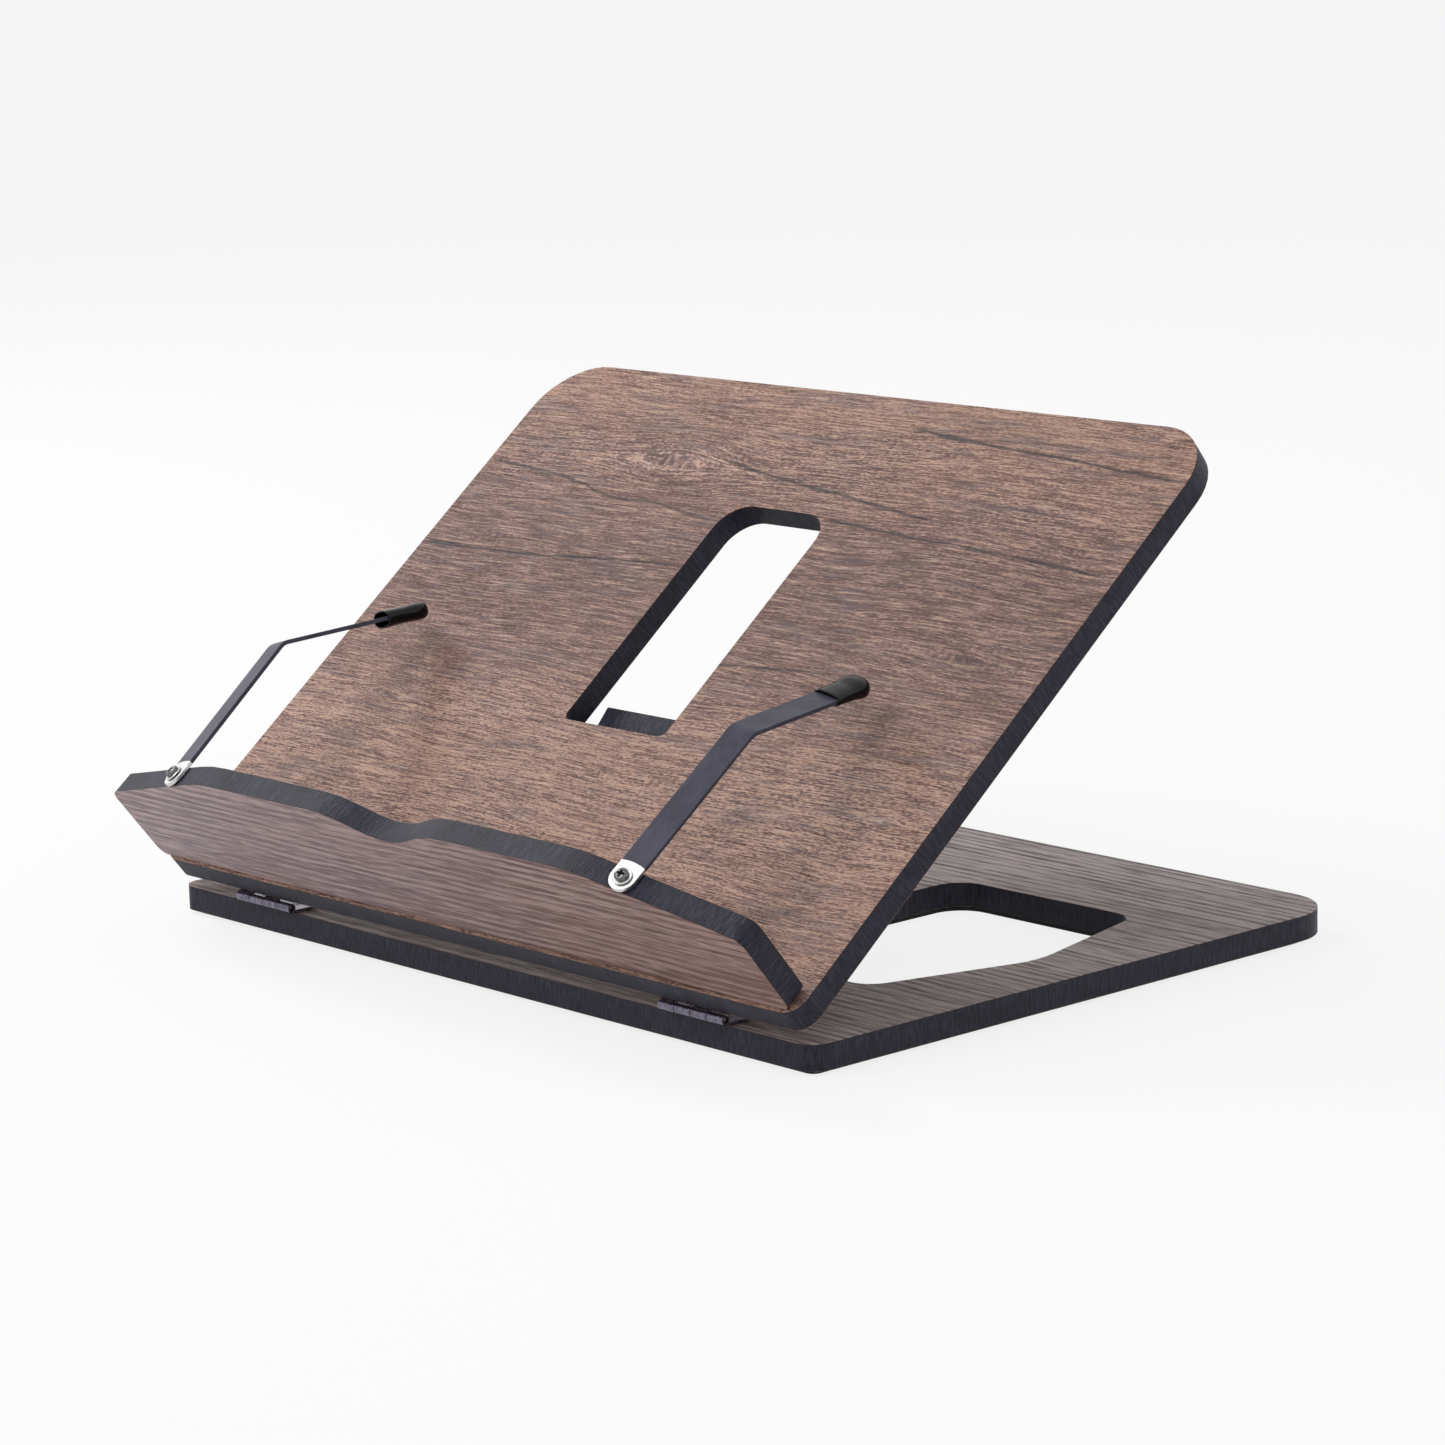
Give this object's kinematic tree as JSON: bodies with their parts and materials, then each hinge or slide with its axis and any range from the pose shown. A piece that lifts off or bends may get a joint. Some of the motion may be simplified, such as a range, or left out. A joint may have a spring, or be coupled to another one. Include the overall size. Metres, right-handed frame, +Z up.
{
  "type": "folding book stand",
  "caption": "Folding book stand: a wood-print panel hinged to a base board, propped by a leg cut from its slot, with a wavy ledge and swivelling page holders.",
  "frame": {"origin": "middle of the base's footprint, on the surface that the stand is on", "axes": "+X across the stand to the reader's right, +Y from the reader to the stand's back, +Z up"},
  "size_m": [0.3011, 0.2648, 0.1638],
  "materials": {
    "base_wood_print": "satin",
    "panel_wood_print": "satin",
    "ledge_wood_print": "satin",
    "leg_wood_print": "satin",
    "anti_slip_black": "matte",
    "hinge_bronze": "satin",
    "hinge_pin_bronze": "satin",
    "holder_black": "satin",
    "cap_rubber": "gloss",
    "screw_nickel": "satin",
    "washer_nickel": "satin"
  },
  "bodies": {
    "base": {"base_board": "base_wood_print", "anti_slip_sheet": "anti_slip_black", "left_hinge_base_leaf": "hinge_bronze", "right_hinge_base_leaf": "hinge_bronze", "left_hinge_pin": "hinge_pin_bronze", "right_hinge_pin": "hinge_pin_bronze"},
    "panel": {"book_panel": "panel_wood_print", "ledge": "ledge_wood_print", "left_hinge_panel_leaf": "hinge_bronze", "right_hinge_panel_leaf": "hinge_bronze", "prop_hinge_panel_leaf": "hinge_bronze", "prop_hinge_pin": "hinge_pin_bronze", "left_pivot_screw": "screw_nickel", "right_pivot_screw": "screw_nickel", "left_pivot_washer": "washer_nickel", "right_pivot_washer": "washer_nickel"},
    "leg": {"prop_leg": "leg_wood_print", "prop_hinge_leg_leaf": "hinge_bronze"},
    "left_holder": {"left_holder_strip": "holder_black", "left_holder_cap": "cap_rubber"},
    "right_holder": {"right_holder_strip": "holder_black", "right_holder_cap": "cap_rubber"}
  },
  "joints": [
    {"name": "panel_fold", "type": "hinge", "parent": "base", "child": "panel", "pos_m": [0, -0.11635, 0.01125], "axis": [1, 0, 0], "range_deg": [-38.8, 0]},
    {"name": "leg_fold", "type": "hinge", "parent": "panel", "child": "leg", "pos_m": [0, -0.04737, 0.06678], "axis": [1, 0, 0], "range_deg": [0, 79.97]},
    {"name": "left_holder_swivel", "type": "hinge", "parent": "panel", "child": "left_holder", "pos_m": [-0.1082, -0.14354, 0.0552], "axis": [-0.2577, -0.6054, 0.753], "range_deg": [-70.4, 6.6]},
    {"name": "right_holder_swivel", "type": "hinge", "parent": "panel", "child": "right_holder", "pos_m": [0.105, -0.14354, 0.0552], "axis": [0.2577, -0.6054, 0.753], "range_deg": [-10.4, 66.6]}
  ],
  "couplings": [
    {"joint": "leg_fold", "follows": "panel_fold", "ratio": -2.061}
  ]
}
